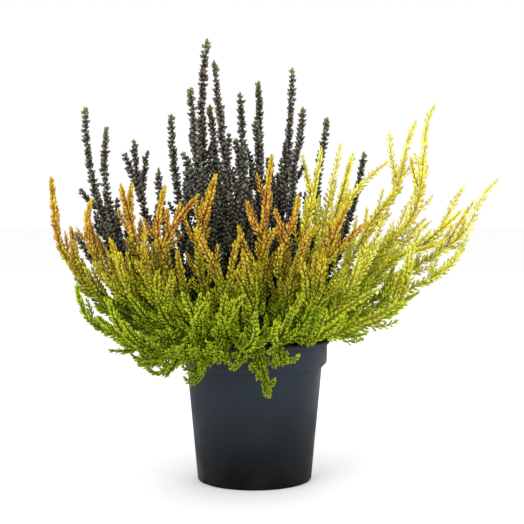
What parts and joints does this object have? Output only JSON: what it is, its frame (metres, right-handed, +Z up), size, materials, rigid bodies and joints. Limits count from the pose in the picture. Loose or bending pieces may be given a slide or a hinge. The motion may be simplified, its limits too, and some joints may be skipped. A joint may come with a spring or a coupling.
{
  "type": "potted heather",
  "caption": "Bushy upright potted heather with dark, amber and yellow leafy shoots in a plain black tapered nursery pot.",
  "frame": {"origin": "centre of the pot's underside, where the pot rests", "axes": "+Z up, +X to the viewer's right in the picture, +Y away from the viewer"},
  "size_m": [0.3592, 0.246, 0.355],
  "materials": {
    "pot_plastic": "satin",
    "peat": "matte",
    "dark_foliage": "matte",
    "amber_foliage": "matte",
    "yellow_foliage": "matte"
  },
  "bodies": {
    "root": {"pot": "pot_plastic", "peat": "peat", "dark_shoot_01": "dark_foliage", "dark_shoot_02": "dark_foliage", "dark_shoot_03": "dark_foliage", "dark_shoot_04": "dark_foliage", "dark_shoot_05": "dark_foliage", "dark_shoot_06": "dark_foliage", "dark_shoot_07": "dark_foliage", "dark_shoot_08": "dark_foliage", "dark_shoot_09": "dark_foliage", "dark_shoot_10": "dark_foliage", "dark_shoot_11": "dark_foliage", "dark_shoot_12": "dark_foliage", "dark_shoot_13": "dark_foliage", "dark_shoot_14": "dark_foliage", "dark_shoot_15": "dark_foliage", "dark_shoot_16": "dark_foliage", "dark_shoot_17": "dark_foliage", "dark_shoot_18": "dark_foliage", "dark_shoot_19": "dark_foliage", "dark_shoot_20": "dark_foliage", "amber_shoot_01": "amber_foliage", "amber_shoot_02": "amber_foliage", "amber_shoot_03": "amber_foliage", "amber_shoot_04": "amber_foliage", "amber_shoot_05": "amber_foliage", "amber_shoot_06": "amber_foliage", "amber_shoot_07": "amber_foliage", "amber_shoot_08": "amber_foliage", "amber_shoot_09": "amber_foliage", "amber_shoot_10": "amber_foliage", "amber_shoot_11": "amber_foliage", "amber_shoot_12": "amber_foliage", "amber_shoot_13": "amber_foliage", "amber_shoot_14": "amber_foliage", "amber_shoot_15": "amber_foliage", "amber_shoot_16": "amber_foliage", "amber_shoot_17": "amber_foliage", "amber_shoot_18": "amber_foliage", "amber_shoot_19": "amber_foliage", "amber_shoot_20": "amber_foliage", "amber_shoot_21": "amber_foliage", "amber_shoot_22": "amber_foliage", "amber_shoot_23": "amber_foliage", "amber_shoot_24": "amber_foliage", "amber_shoot_25": "amber_foliage", "yellow_shoot_01": "yellow_foliage", "yellow_shoot_02": "yellow_foliage", "yellow_shoot_03": "yellow_foliage", "yellow_shoot_04": "yellow_foliage", "yellow_shoot_05": "yellow_foliage", "yellow_shoot_06": "yellow_foliage", "yellow_shoot_07": "yellow_foliage", "yellow_shoot_08": "yellow_foliage", "yellow_shoot_09": "yellow_foliage", "yellow_shoot_10": "yellow_foliage", "yellow_shoot_11": "yellow_foliage", "yellow_shoot_12": "yellow_foliage", "yellow_shoot_13": "yellow_foliage"}
  },
  "joints": []
}
